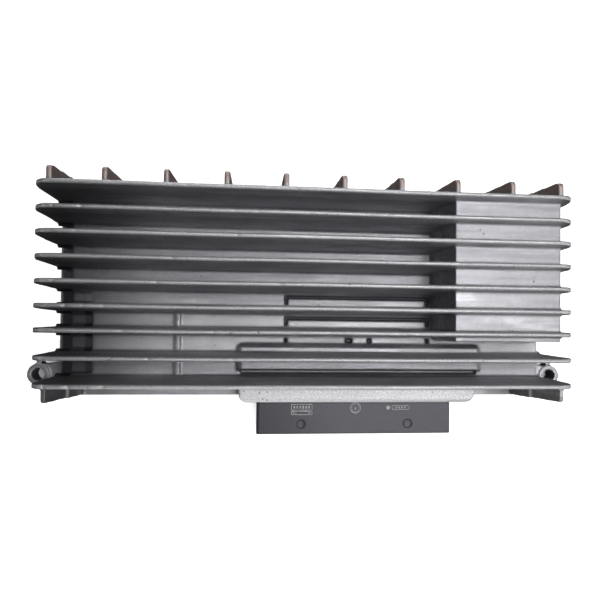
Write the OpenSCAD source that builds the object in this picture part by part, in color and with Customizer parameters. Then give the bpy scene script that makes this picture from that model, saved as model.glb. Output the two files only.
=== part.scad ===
// Sealed micro inverter: die-cast finned housing, back cover, connector header and power electronics.
// It lies on its back. +Z is up through the fins, +X is along the fins, and the connector faces -Y.
// The origin is midway between the two mounting ears, on the mounting plane.

/* [Housing] */
// Length of the cast body along the fins
body_l = 242; // [200:1:300]
// Width of the cast body across the fins
body_w = 94.5; // [92:0.5:130]
// Height of the base plate's outer face above the mounting plane
body_h = 25; // [24:0.5:34]
// Side wall thickness
wall = 3.5; // [3:0.1:4.5]
// Base plate thickness
base_t = 4.5; // [4:0.1:6]
// Distance from the ear line to the connector-side wall
ear_setback = 5.8; // [5:0.1:8]
// Flange width beyond the end walls
flange_end = 5.5; // [5:0.1:8]
// Flange width beyond the connector-side wall
flange_front = 4.9; // [4.8:0.1:7]
// Flange width beyond the ribbed wall
flange_rear = 8.9; // [8:0.1:12]
// Flange thickness
flange_t = 6; // [5:0.1:7]

/* [Fins] */
// Height of the fins above the base plate
fin_rise = 35; // [25:0.5:50]
// Thickness of a fin at its tip
fin_tip_t = 2; // [1.6:0.1:2.6]
// Thickness of a fin at its root
fin_root_t = 3.4; // [2.8:0.1:4.4]
// Fillet at a fin's root
fin_fillet = 1.2; // [0.6:0.1:1.5]
// How far a fin runs past each end wall
fin_overhang = 1.8; // [1:0.1:4]
// Radius of a fin's outer corners
fin_corner_r = 10; // [5:0.5:15]
// Pitch of the last fins, beside the connector
fin_wide_pitch = 11.95; // [10:0.05:15]

/* [Side ribs] */
// Thickness of a side rib
rib_t = 2.5; // [2:0.1:4]
// Pitch of the inner side ribs
rib_pitch = 26.5; // [20:0.5:32]
// Height of a side rib at its front end
rib_rise = 6.3; // [4:0.1:8]
// Distance of a side rib's front end below the fin tips
rib_drop = 4; // [2:0.5:10]
// Distance of an end rib's centre from the end wall
end_rib_inset = 4.3; // [3:0.1:6]
// Height above the base plate where a front rib gets thicker
front_rib_step = 5; // [2:0.5:10]

/* [Transformer pocket] */
// Length of the raised pocket along the fins
pocket_l = 54.6; // [50:0.1:60]
// Height of the pocket's top below the fin tips
pocket_drop = 7.5; // [5:0.5:12]
// How far the pocket runs past the seventh fin
pocket_past_fin = 3.4; // [2.5:0.1:4.5]
// Sideways draft of the pocket's walls
pocket_draft = 3.2; // [1:0.1:4]

/* [Connector] */
// Length of the connector shroud
header_l = 103.5; // [80:0.5:120]
// Height of the connector shroud
header_h = 14; // [12:0.5:16]
// How far the shroud stands out of the collar
header_reach = 17; // [12:0.5:24]
// Wall thickness of the shroud
header_wall = 1.8; // [1.4:0.1:2.4]
// Distance of the connector's centre from the mid-length plane
header_x = 26.4; // [0:0.1:30]
// Collar beyond each end of the shroud
collar_margin = 9.9; // [8:0.1:14]
// How far the collar stands out of the wall
collar_reach = 7.6; // [6:0.1:10]
// Height of the collar's top above the mounting plane
collar_h = 21; // [19:0.5:22]

/* [Mounting ears] */
// Distance of an ear's centre beyond the end flange
ear_out = 10.1; // [8:0.1:20]
// Diameter of an ear hole
ear_hole_d = 6.4; // [5:0.1:7]
// Outer diameter of an ear
ear_d = 11; // [10:0.1:16]
// Height of an ear
ear_h = 10; // [9:0.5:14]

/* [Cover and fasteners] */
// Cover thickness
cover_t = 3; // [2.6:0.1:4]
// Thread diameter of a cover screw
cover_screw_d = 3; // [2.5:0.5:3]
// Head diameter of a cover screw
cover_head_d = 5.6; // [5:0.1:5.6]
// Thread diameter of a board screw
board_screw_d = 3; // [2.5:0.1:3.5]
// Width of the gasket bead
gasket_w = 1.8; // [1.4:0.1:2]
// Thickness of the gasket bead
gasket_t = 1.3; // [1:0.1:1.6]

/* [Electronics] */
// Board thickness
board_t = 1.6; // [1:0.1:2.4]
// Height of the board's underside above the cover
board_gap = 3.5; // [3:0.1:5]
// Gap between the board's edge and the walls
board_edge = 2.5; // [1.5:0.1:4]
// Diameter of a bus capacitor
capacitor_d = 10; // [8:0.5:11]
// Length of a bus capacitor
capacitor_l = 25; // [16:1:30]
// Width of a power transistor
transistor_w = 15.9; // [14:0.1:17]
// Gap between two power transistors
transistor_gap = 7.1; // [6.9:0.1:10]
// Height of the transformer core
core_h = 32; // [26:0.5:34]
// Width of the transformer core
core_w = 40; // [34:0.5:42]

/* [Hidden] */

$fn = 64;
fit = 0.3;             // clearance between pieces that go together
thread_gap = 0.05;     // clearance around a screw thread
contact = 0.05;        // clearance between faces that bear on each other
eps = 0.01;            // overlap that joins two solids of one piece

// Body limits
wall_front = -ear_setback;
wall_rear = wall_front + body_w;
half_l = body_l / 2;
ear_spacing = body_l + 2 * (flange_end + ear_out);
tip_z = body_h + fin_rise;
ceiling_z = body_h - base_t;
flange_z = cover_t + flange_t;
inner_half = half_l - wall;
inner_front = wall_front + wall;
inner_rear = wall_rear - wall;

// Fins, counted from the ribbed side
fin_narrow_gaps = 6;
fin_wide_gaps = 2;
fin_count = fin_narrow_gaps + fin_wide_gaps + 1;
fin_last_y = wall_front + 5;
fin_first_y = wall_rear - fin_root_t / 2;
fin_seventh_y = fin_last_y + fin_wide_gaps * fin_wide_pitch;
fin_pitch = (fin_first_y - fin_seventh_y) / fin_narrow_gaps;
function fin_y(i) = i <= fin_narrow_gaps
    ? fin_first_y - i * fin_pitch
    : fin_seventh_y - (i - fin_narrow_gaps) * fin_wide_pitch;

// Pocket limits
pocket_top = tip_z - pocket_drop;
pocket_x0 = half_l - pocket_l - 2 * pocket_draft + 3.2;
pocket_y0 = fin_seventh_y - pocket_past_fin;
pocket_cx = (pocket_x0 + pocket_draft + half_l - pocket_draft) / 2;

// Connector limits
collar_l = header_l + 2 * collar_margin;
collar_x = header_x + 0.8;
collar_front = wall_front - collar_reach;
header_top = 1 + header_h;
header_front = collar_front - header_reach;
neck_l = header_l - 4;
neck_z0 = cover_t + 2.8;
neck_z1 = header_top - 0.8;
pad_rise = 3;          // height of the raised pad over the connector bay
pad_slope = 2.2;       // width of the pad's sloped edge
pad_y0 = fin_last_y + 5;
pad_y1 = fin_last_y + 18.3;
pad_over = 1.2;        // how far the pad's foot runs past the collar at each end
pad_x0 = collar_x - collar_l / 2 - pad_over;
pad_x1 = collar_x + collar_l / 2 + pad_over;

// Inner side ribs on each side of the middle
rib_pairs = floor((half_l - end_rib_inset - 0.6 * rib_pitch) / rib_pitch + 0.5);

// Flange outline
flange_x = half_l + flange_end;
flange_y0 = wall_front - flange_front;
flange_y1 = wall_rear + flange_rear;
flange_r = 5;

// Cover screws: rear row between the ribs, front row clear of the connector, and the two ends
cover_inset = 0.4;
sink_gap = 0.2;
screw_inset = cover_inset + cover_head_d / 2 + sink_gap + 0.4;  // keeps the cover's edge whole
screw_rear_y = wall_rear + flange_rear / 2;
screw_front_y = wall_front - flange_front + screw_inset;
screw_end_x = half_l + flange_end - screw_inset;
rear_screw_pairs = floor((half_l - 8) / (2 * rib_pitch));
screw_rear_x = [for (k = [-rear_screw_pairs : rear_screw_pairs]) 2 * k * rib_pitch];
screw_bay_x = [collar_x - collar_l / 2 + 4.5, collar_x + collar_l / 2 - 4.5];
screw_front_x = [-half_l + 17, -half_l + 53, screw_bay_x[0], screw_bay_x[1], half_l - 5];
screw_end_y = [wall_front + body_w / 3, wall_front + body_w * 0.75];
screw_at = concat(
    [for (x = screw_rear_x) [x, screw_rear_y]],
    [for (x = screw_front_x) [x, screw_front_y]],
    [for (x = [-screw_end_x, screw_end_x], y = screw_end_y) [x, y]]
);
screw_depth = flange_z - 1;  // height of a cover screw's tip above the mounting plane

// Gasket loop, in the middle of the wall
loop_half_l = half_l - wall / 2;
loop_y0 = wall_front + wall / 2;
loop_y1 = wall_rear - wall / 2;
groove_w = gasket_w + 0.2;
groove_t = gasket_t + 0.1;

// Board and the heights that stand on it
board_z0 = cover_t + board_gap;
board_z1 = board_z0 + board_t;
board_x = inner_half - board_edge;
board_y0 = inner_front + 5;
board_y1 = inner_rear - board_edge;
boss_d = 7.5;
boss_edge = 6;
boss_at = [
    [-board_x + boss_edge, board_y0 + boss_edge],
    [-board_x + boss_edge, board_y1 - boss_edge],
    [header_x - neck_l / 2 - 14, board_y0 + boss_edge],
    [-18, board_y1 - boss_edge],
    [pocket_x0 - 8, board_y1 - boss_edge],
    [board_x - boss_edge, board_y0 + boss_edge + 4]
];
board_head_h = 2;

// Power transistors, flat against the base plate on thermal pads
transistor_pitch = transistor_w + transistor_gap;
transistor_count = floor((pocket_x0 + board_x - 84) / transistor_pitch);
transistor_l = 20.9;
transistor_h = 5;
pad_t = 0.5;
transistor_x0 = -board_x + 24;
transistor_y0 = board_y0 + 26;
transistor_z0 = ceiling_z - pad_t - transistor_h;
clamp_t = 1.2;
clamp_w = 8;
clamp_y = transistor_y0 + transistor_l / 2;
clamp_z0 = transistor_z0 - contact - clamp_t;
clamp_screw_d = 3;
function transistor_x(i) = transistor_x0 + i * transistor_pitch;
clamp_screw_at = [for (i = [0 : transistor_count - 2]) transistor_x(i) + transistor_pitch / 2];

// Transformer, standing in the pocket
core_x = pocket_cx;
core_y = inner_rear - core_w / 2 - 2;
core_z0 = board_z1 + 4.5;
core_z1 = core_z0 + core_h;
core_t = 15;
yoke_t = 5.5;
core_leg_r = 6.5;
window_z0 = core_z0 + yoke_t + 0.2;
window_z1 = core_z1 - yoke_t - 0.2;
bobbin_r = core_leg_r + 1.4;
bobbin_flange_r = core_w / 2 - yoke_t - 0.4;
winding_gap = 0.2;
primary_r = bobbin_r + 2.6;
secondary_r = bobbin_flange_r - 0.4;
bobbin_flange_t = 1.2;

// Resonant inductor, a ring standing on its edge beside the transformer
ring_r = 13;
ring_bore_r = 6.5;
ring_t = 7;
ring_wire = 1.6;
ring_y = pocket_y0 + wall + 2.5 + ring_t / 2 + ring_wire;
ring_z = board_z1 + 1 + ring_r + ring_wire;

// Common-mode choke, a ring lying flat on the board
choke_r = 9;
choke_bore_r = 5;
choke_t = 6;
choke_wire = 1.2;
choke_at = [pocket_x0 - 22.5, board_y0 + 26.7];

// Rounded rectangle between two corners
module rounded(x0, y0, x1, y1, r) {
    translate([x0 + r, y0]) square([x1 - x0 - 2 * r, y1 - y0]);
    translate([x0, y0 + r]) square([x1 - x0, y1 - y0 - 2 * r]);
    for (x = [x0 + r, x1 - r], y = [y0 + r, y1 - r]) translate([x, y]) circle(r);
}

// Box between two corners
module block(a, b) {
    translate(a) cube([b[0] - a[0], b[1] - a[1], b[2] - a[2]]);
}

// Profile in Y and Z, extruded along X from x0 to x1
module along_x(x0, x1) {
    translate([x0, 0, 0]) rotate([90, 0, 90]) linear_extrude(x1 - x0) children();
}

// Profile in X and Z, extruded along Y from y0 to y1
module along_y(y0, y1) {
    translate([0, y1, 0]) rotate([90, 0, 0]) linear_extrude(y1 - y0) children();
}

// Flange and cover outline, set in by a gap
module outline(inset) {
    rounded(-flange_x + inset, flange_y0 + inset, flange_x - inset, flange_y1 - inset, flange_r);
    rounded(collar_x - collar_l / 2 + inset, collar_front + inset,
        collar_x + collar_l / 2 - inset, wall_front + 6, 4.5 - inset);
}

// Loop of a given width around the wall's centre line
module gasket_loop(w) {
    difference() {
        rounded(-loop_half_l - w / 2, loop_y0 - w / 2, loop_half_l + w / 2, loop_y1 + w / 2, 4 + w / 2);
        rounded(-loop_half_l + w / 2, loop_y0 + w / 2, loop_half_l - w / 2, loop_y1 - w / 2, 4 - w / 2);
    }
}

// Cross-section of one fin about its own centre line, with root fillets and a round tip
module fin_profile() {
    tip = fin_tip_t / 2;
    root = fin_root_t / 2;
    foot = root + fin_fillet;
    polygon([[-root, body_h - 2], [root, body_h - 2], [root, body_h], [tip, tip_z - tip],
        [-tip, tip_z - tip], [-root, body_h]]);
    translate([0, tip_z - tip]) circle(tip);
    difference() {
        translate([-foot, body_h - 1]) square([2 * foot, 1 + fin_fillet]);
        for (s = [-1, 1]) translate([s * foot, body_h + fin_fillet]) circle(fin_fillet);
    }
}

// One fin with its two rounded outer corners
module fin(y) {
    reach = half_l + fin_overhang;
    intersection() {
        translate([0, y, 0]) along_x(-reach, reach) fin_profile();
        along_y(y - 5, y + 5) {
            rounded(-reach, body_h + 1, reach, tip_z, fin_corner_r);
            translate([-reach, body_h - 2]) square([2 * reach, 2 * fin_corner_r]);
        }
    }
}

// Rib on the rear wall, from the flange to near the fin tips
module rear_rib(x) {
    top = tip_z - rib_drop;
    r = 2.5;
    slope = (flange_rear - rib_rise) / (top - flange_z);
    crest = wall_rear + rib_rise;
    along_x(x - rib_t / 2, x + rib_t / 2) {
        polygon([[wall_rear - 2, cover_t], [wall_rear + flange_rear - 0.3, cover_t],
            [wall_rear + flange_rear - 0.3, flange_z], [crest + slope * r, top - r],
            [crest - r, top - r], [crest - r, top], [wall_rear - 2, top]]);
        translate([crest - r + slope * r, top - r]) circle(r);
    }
}

// Rib under the last fin at each end, thicker below the base plate
module front_rib(side) {
    top = tip_z - rib_drop - 1;
    r = 2;
    crest = wall_front - 2.7;
    foot = flange_y0 + 0.3;
    x = side * (half_l - end_rib_inset + 0.3);
    half_t = rib_t / 2 - 0.2;
    along_x(x - half_t, x + half_t) {
        polygon([[fin_last_y, cover_t], [foot, cover_t], [foot, flange_z], [crest, top - r],
            [crest + r, top - r], [crest + r, top], [fin_last_y, top]]);
        translate([crest + r, top - r]) circle(r);
    }
    step_z = body_h + front_rib_step;
    step_y = foot + (crest - foot) * (step_z - flange_z) / (top - r - flange_z);
    along_x(x - half_t - (side > 0 ? 1.7 : 0), x + half_t + (side > 0 ? 0 : 1.7))
        polygon([[fin_last_y, cover_t], [foot, cover_t], [foot, flange_z],
            [step_y, step_z], [fin_last_y, step_z]]);
}

// Ear with its lug and its upper web
module ear(side) {
    x = ear_spacing / 2;
    r = ear_d / 2;
    edge = flange_x + fit;
    mirror([side < 0 ? 1 : 0, 0, 0]) {
        translate([x, 0, 0]) cylinder(h = ear_h, r = r);
        translate([0, 0, cover_t]) linear_extrude(flange_t)
            polygon([[half_l - 1, flange_y0 + 3], [flange_x - 3, flange_y0 + 1], [x - 2, -r + 0.4],
                [x, 0], [x - 1, r - 0.6], [half_l - 1, r + 2]]);
        linear_extrude(flange_z)
            polygon([[edge, flange_y0 + 6], [x - 2, -r + 0.4], [x, 0], [x - 1, r - 0.6], [edge, r + 1]]);
        translate([0, 0, cover_t]) linear_extrude(ear_h - cover_t - 1)
            polygon([[x - 1.3, 3], [x + 1.3, 3], [x + 1.3, r + 3.2], [half_l - 1, r + 9.6],
                [half_l - 1, r + 7], [x - 1.3, r + 1.4]]);
    }
}

// Raised pocket over the transformer, outer shape
module pocket_outer() {
    r = 4;
    intersection() {
        along_y(pocket_y0, wall_rear)
            polygon([[pocket_x0, body_h - 3], [half_l, body_h - 3], [half_l, body_h],
                [half_l - pocket_draft + 0.2, pocket_top], [pocket_x0 + pocket_draft, pocket_top],
                [pocket_x0, body_h]]);
        linear_extrude(tip_z) {
            rounded(pocket_x0, pocket_y0, half_l, wall_rear - 1, r);
            translate([pocket_x0, wall_rear - 20]) square([half_l - pocket_x0, 20]);
        }
    }
}

// Raised pad over the connector bay, with sloped edges
module bay_pad() {
    top = body_h + pad_rise;
    intersection() {
        along_y(pad_y0 - 1, pad_y1 + 1)
            polygon([[pad_x0, body_h - 3], [pad_x1, body_h - 3], [pad_x1, body_h],
                [pad_x1 - pad_slope, top], [pad_x0 + pad_slope, top], [pad_x0, body_h]]);
        along_x(pad_x0 - 1, pad_x1 + 1)
            polygon([[pad_y0, body_h - 3], [pad_y1, body_h - 3], [pad_y1, body_h],
                [pad_y1 - pad_slope, top], [pad_y0, top]]);
        linear_extrude(tip_z) rounded(pad_x0, pad_y0 - 8, pad_x1, pad_y1, 5);
    }
}

// Collar around the connector, with a rounded front edge
module collar() {
    r = 3;
    intersection() {
        translate([0, 0, cover_t]) linear_extrude(body_h)
            rounded(collar_x - collar_l / 2, collar_front, collar_x + collar_l / 2, wall_front + 8, 4.5);
        along_x(collar_x - collar_l, collar_x + collar_l) {
            polygon([[wall_front + 6, cover_t], [collar_front, cover_t], [collar_front, collar_h - r],
                [collar_front + r, collar_h - r], [collar_front + r, collar_h],
                [wall_front, collar_h + 1], [wall_front + 3, body_h + 1], [wall_front + 6, body_h + 1]]);
            translate([collar_front + r, collar_h - r]) circle(r);
        }
    }
}

// Low relief cut into the base plate's outer face
strip_y1 = fin_y(4);
panel_x0 = -10.3;
relief_w = 1.8;
relief_depth = 1.6;
cross_grooves = [[19.2, 22.9], [30.6, 32.7]];
panel_x1 = pocket_x0 - relief_w - 0.4;
module base_relief() {
    lip = 2.2;
    along_y(strip_y1, wall_rear + 1)
        polygon([[-half_l - 1, body_h - lip - 1], [-half_l + 5.5, body_h], [-half_l + 5.5, body_h + 1],
            [-half_l - 1, body_h + 1]]);
    along_y(wall_front - 1, strip_y1)
        polygon([[-half_l - 1, body_h - lip - 1.5], [-half_l + 5, body_h - lip],
            [-half_l + 11.5, body_h - lip], [-half_l + 16.2, body_h], [-half_l + 16.2, body_h + 1],
            [-half_l - 1, body_h + 1]]);
    foot = fin_root_t / 2 + fin_fillet;
    for (i = [4, 5])
        block([panel_x0 - relief_w, fin_y(i) - foot - relief_w, body_h - relief_depth],
            [panel_x1 + relief_w, fin_y(i) - foot, body_h + 1]);
    for (x = cross_grooves)
        block([x[0], pad_y1 - 1, body_h - relief_depth], [x[1], fin_seventh_y, body_h + 1]);
    for (x = [panel_x0 - relief_w, panel_x1])
        block([x, pad_y1 - 1, body_h - relief_depth], [x + relief_w, fin_y(4), body_h + 1]);
    block([pad_x0 + 2, pad_y0 - 4, body_h - 2.3], [pad_x1 - 2, pad_y0, body_h + 1]);
}

// Raised rib on the base plate's outer face
module base_rib() {
    block([-65.9, fin_last_y, body_h - 1], [-63.4, fin_y(5), body_h + 1]);
}

module housing() color([0.62, 0.63, 0.65]) {
    difference() {
        union() {
            difference() {
                union() {
                    difference() {
                        block([-half_l, wall_front, cover_t], [half_l, wall_rear, body_h]);
                        base_relief();
                    }
                    translate([0, 0, cover_t]) linear_extrude(flange_t) outline(0);
                    collar();
                    bay_pad();
                    pocket_outer();
                    base_rib();
                    for (i = [0 : fin_count - 1]) fin(fin_y(i));
                    for (k = [0.5 : rib_pairs], s = [-1, 1]) rear_rib(s * k * rib_pitch);
                    for (s = [-1, 1]) {
                        rear_rib(s * (half_l - end_rib_inset - 0.5));
                        front_rib(s);
                        ear(s);
                    }
                }
                block([-inner_half, inner_front, cover_t - 1], [inner_half, inner_rear, ceiling_z]);
                block([pocket_x0 + pocket_draft + wall, pocket_y0 + wall, ceiling_z - 1],
                    [half_l - pocket_draft - wall, inner_rear, pocket_top - wall]);
            }
            for (p = boss_at)
                translate([p[0], p[1], board_z1]) cylinder(h = ceiling_z - board_z1 + 1, d = boss_d);
            for (x = clamp_screw_at)
                translate([x, clamp_y, clamp_z0 + clamp_t])
                    cylinder(h = ceiling_z - clamp_z0 - clamp_t + 1, d = 6);
        }
        block([header_x - neck_l / 2 - fit, collar_front - 1, neck_z0 - fit],
            [header_x + neck_l / 2 + fit, inner_front + 1, neck_z1 + fit]);
        for (s = [-1, 1])
            translate([s * ear_spacing / 2, 0, -1]) cylinder(h = ear_h + 2, d = ear_hole_d);
        for (p = screw_at)
            translate([p[0], p[1], cover_t - 1])
                cylinder(h = screw_depth - cover_t + 1.3, d = cover_screw_d + 2 * thread_gap);
        for (p = boss_at)
            translate([p[0], p[1], board_z1 - 1])
                cylinder(h = 10, d = board_screw_d + 2 * thread_gap);
        for (x = clamp_screw_at)
            translate([x, clamp_y, clamp_z0])
                cylinder(h = 8.5, d = clamp_screw_d + 2 * thread_gap);
        translate([0, 0, cover_t - 1]) linear_extrude(groove_t + 1) gasket_loop(groove_w);
    }
}

// Shallow fields in the cover's outer face leave stiffening ribs between them
field_depth = 0.8;
plate_l = 62;
plate_w = 34;
plate_t = 0.3;
plate_at = [-46, wall_front + body_w / 2];
vent_at = [72, wall_front + body_w / 2];
vent_hole_d = 3;
vent_d = 14;
vent_t = 0.6;

module cover_fields() {
    cols = 4;
    rows = 2;
    rib = 5;
    x0 = -half_l + 6;
    y0 = wall_front + 8;
    w = (body_l - 12 - rib * (cols - 1)) / cols;
    h = (body_w - 16 - rib * (rows - 1)) / rows;
    for (i = [0 : cols - 1], j = [0 : rows - 1])
        rounded(x0 + i * (w + rib), y0 + j * (h + rib), x0 + i * (w + rib) + w,
            y0 + j * (h + rib) + h, 4);
}

module back_cover() color([0.6, 0.61, 0.63]) {
    difference() {
        union() {
            difference() {
                linear_extrude(cover_t) outline(cover_inset);
                translate([0, 0, -1]) linear_extrude(1 + field_depth) cover_fields();
            }
            translate([plate_at[0], plate_at[1], 0]) linear_extrude(cover_t)
                rounded(-plate_l / 2 - 3, -plate_w / 2 - 3, plate_l / 2 + 3, plate_w / 2 + 3, 4);
            translate([vent_at[0], vent_at[1], 0]) cylinder(h = cover_t, d = vent_d + 4);
        }
        translate([plate_at[0], plate_at[1], -1]) linear_extrude(1 + plate_t + 0.15)
            rounded(-plate_l / 2 - fit, -plate_w / 2 - fit, plate_l / 2 + fit, plate_w / 2 + fit, 2);
        translate([vent_at[0], vent_at[1], -1]) cylinder(h = cover_t + 2, d = vent_hole_d);
        translate([vent_at[0], vent_at[1], -1]) cylinder(h = 1.8, d = vent_d - 4);
        for (p = screw_at) translate([p[0], p[1], 0]) {
            translate([0, 0, -1]) cylinder(h = cover_t + 2, d = cover_screw_d + 2 * fit);
            translate([0, 0, -eps])
                cylinder(h = 2.3, d1 = cover_head_d + 2 * sink_gap, d2 = cover_screw_d + 2 * sink_gap);
        }
    }
}

module cover_gasket() color([0.12, 0.12, 0.13])
    translate([0, 0, cover_t]) linear_extrude(gasket_t) gasket_loop(gasket_w);

// Countersunk screws with a cross recess, pointing up
module cover_screws() color([0.75, 0.75, 0.76])
    for (p = screw_at) translate([p[0], p[1], 0.2]) difference() {
        union() {
            cylinder(h = 2.05, d1 = cover_head_d, d2 = cover_screw_d);
            cylinder(h = screw_depth - 0.2, d = cover_screw_d);
        }
        for (a = [0, 90]) rotate(a) translate([-1.9, -0.4, -1]) cube([3.8, 0.8, 2.2]);
    }

// Connector header: a shroud with two sockets, and a neck that passes through the collar
socket_gap = 3;
socket_depth = header_reach - 4;
socket_l = (header_l - 2 * header_wall - socket_gap) / 2;
socket_x = [header_x - socket_gap / 2 - socket_l / 2, header_x + socket_gap / 2 + socket_l / 2];
socket_z0 = 1 + header_wall;
socket_z1 = header_top - header_wall;
shroud_back = collar_front - contact;
mark_y = header_front + 5.2;
mark_half = 28.5;
mark_d = 4.6;
mark_depth = 0.5;

module connector_header() color([0.28, 0.29, 0.31]) {
    difference() {
        union() {
            along_y(header_front, shroud_back)
                rounded(header_x - header_l / 2, 1, header_x + header_l / 2, header_top, 1.4);
            block([header_x - neck_l / 2, shroud_back - 1, neck_z0],
                [header_x + neck_l / 2, inner_front + 4, neck_z1]);
        }
        for (x = socket_x)
            along_y(header_front - 1, header_front + socket_depth)
                rounded(x - socket_l / 2, socket_z0, x + socket_l / 2, socket_z1, 1.5);
        for (s = [-1, 1])
            translate([header_x + s * mark_half, mark_y, header_top - mark_depth])
                cylinder(h = 1, d = mark_d);
        difference() {
            along_y(shroud_back - 1.6, shroud_back + 1)
                rounded(header_x - header_l / 2 + 0.5, 1.5, header_x + header_l / 2 - 0.5,
                    header_top - 0.2, 0.8);
            along_y(shroud_back - 3, shroud_back + 2)
                square_between(header_x - neck_l / 2, neck_z0, header_x + neck_l / 2, neck_z1);
        }
        for (s = [-1, 1])
            translate([header_x + s * (neck_l / 2 - 0.6), inner_front + 1, neck_z0 - 1])
                block([s > 0 ? 0 : -2, 0, 0], [s > 0 ? 2 : 0, 1.5, 12]);
        pin_row_holes();
        blade_holes();
    }
}

module square_between(x0, y0, x1, y1) {
    translate([x0, y0]) square([x1 - x0, y1 - y0]);
}

// Rubber frame in a groove in the shroud's back face
module header_seal() color([0.1, 0.1, 0.11])
    difference() {
        along_y(shroud_back - 1.5, shroud_back)
            rounded(header_x - header_l / 2 + 0.6, 1.6, header_x + header_l / 2 - 0.6,
                header_top - 0.3, 0.7);
        along_y(shroud_back - 3, shroud_back + 2)
            square_between(header_x - neck_l / 2 - 0.1, neck_z0 - 0.1, header_x + neck_l / 2 + 0.1,
                neck_z1 + 0.1);
    }

// Steel fork that slides over the neck inside the wall and holds the header
module header_clip() color([0.7, 0.7, 0.72])
    difference() {
        block([header_x - neck_l / 2 - 4, inner_front + 1.1, neck_z0 - 1],
            [header_x + neck_l / 2 + 4, inner_front + 2.4, ceiling_z - 2]);
        block([header_x - neck_l / 2 + 0.6 + eps - 0.5, inner_front, neck_z0 - 3],
            [header_x + neck_l / 2 - 0.6 - eps + 0.5, inner_front + 4, neck_z1 + 0.15]);
    }

// Signal pins: two rows of bent square pins in the right socket
pin_w = 0.64;
pin_pitch = 2.54;
pin_count = floor((socket_l - 8) / pin_pitch);
pin_rows = [0, 1];
pin_front = header_front + 5;
function pin_x(i) = socket_x[1] + (i - (pin_count - 1) / 2) * pin_pitch;
function pin_z(r) = board_z1 + 0.9 + r * 2.54;
function pin_bend(r) = board_y0 + 2 + r * 2.54;

module pin_row_holes()
    for (r = pin_rows, i = [0 : pin_count - 1])
        block([pin_x(i) - pin_w / 2 - contact, header_front, pin_z(r) - contact],
            [pin_x(i) + pin_w / 2 + contact, inner_front + 6, pin_z(r) + pin_w + contact]);

module signal_pins() color([0.85, 0.72, 0.4])
    for (r = pin_rows, i = [0 : pin_count - 1]) {
        block([pin_x(i) - pin_w / 2, pin_front, pin_z(r)],
            [pin_x(i) + pin_w / 2, pin_bend(r) + pin_w / 2, pin_z(r) + pin_w]);
        block([pin_x(i) - pin_w / 2, pin_bend(r) - pin_w / 2, board_z0 - 1.5],
            [pin_x(i) + pin_w / 2, pin_bend(r) + pin_w / 2, pin_z(r) + pin_w]);
    }

// Power blades: flat bent blades in the left socket
blade_w = 6.3;
blade_t = 0.8;
blade_count = 4;
blade_pitch = socket_l / blade_count - 0.6;
blade_z = board_z1 + 1.8;
blade_bend = board_y0 + 4;
function blade_x(i) = socket_x[0] + (i - (blade_count - 1) / 2) * blade_pitch;

module blade_holes()
    for (i = [0 : blade_count - 1])
        block([blade_x(i) - blade_w / 2 - contact, header_front, blade_z - contact],
            [blade_x(i) + blade_w / 2 + contact, inner_front + 6, blade_z + blade_t + contact]);

module power_blades() color([0.8, 0.78, 0.74])
    for (i = [0 : blade_count - 1]) {
        block([blade_x(i) - blade_w / 2, pin_front, blade_z],
            [blade_x(i) + blade_w / 2, blade_bend + blade_t, blade_z + blade_t]);
        block([blade_x(i) - blade_w / 2, blade_bend, board_z0 - 1.5],
            [blade_x(i) + blade_w / 2, blade_bend + blade_t, blade_z + blade_t]);
    }

module circuit_board() color([0.05, 0.3, 0.14])
    difference() {
        translate([0, 0, board_z0]) linear_extrude(board_t)
            rounded(-board_x, board_y0, board_x, board_y1, 3);
        for (p = boss_at)
            translate([p[0], p[1], board_z0 - 1]) cylinder(h = board_t + 2, d = board_screw_d + 2 * fit);
        for (r = pin_rows, i = [0 : pin_count - 1])
            block([pin_x(i) - pin_w / 2 - contact, pin_bend(r) - pin_w / 2 - contact, board_z0 - 1],
                [pin_x(i) + pin_w / 2 + contact, pin_bend(r) + pin_w / 2 + contact, board_z1 + 1]);
        for (i = [0 : blade_count - 1])
            block([blade_x(i) - blade_w / 2 - contact, blade_bend - contact, board_z0 - 1],
                [blade_x(i) + blade_w / 2 + contact, blade_bend + blade_t + contact, board_z1 + 1]);
        lead_slots();
    }

// Pan-head board screws, pointing up into the housing's bosses
module board_screws() color([0.72, 0.72, 0.74])
    for (p = boss_at) translate([p[0], p[1], board_z0 - contact]) difference() {
        union() {
            translate([0, 0, -board_head_h]) cylinder(h = board_head_h, d = 2 * board_screw_d);
            translate([0, 0, -1]) cylinder(h = 9, d = board_screw_d);
        }
        for (a = [0, 90]) rotate(a)
            translate([-1.4, -0.3, -board_head_h - 1]) cube([2.8, 0.6, 2]);
    }

// Two E-shaped ferrite halves with a round centre leg
module core_half() {
    h = core_h / 2 - contact;
    translate([-core_t / 2, -core_w / 2, 0]) cube([core_t, core_w, yoke_t]);
    for (s = [-1, 1])
        translate([-core_t / 2, s > 0 ? core_w / 2 - yoke_t : -core_w / 2, 0])
            cube([core_t, yoke_t, h]);
    cylinder(h = h, r = core_leg_r);
}

module transformer_core() color([0.2, 0.2, 0.21]) {
    translate([core_x, core_y, core_z0]) core_half();
    translate([core_x, core_y, core_z1]) mirror([0, 0, 1]) core_half();
}

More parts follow.
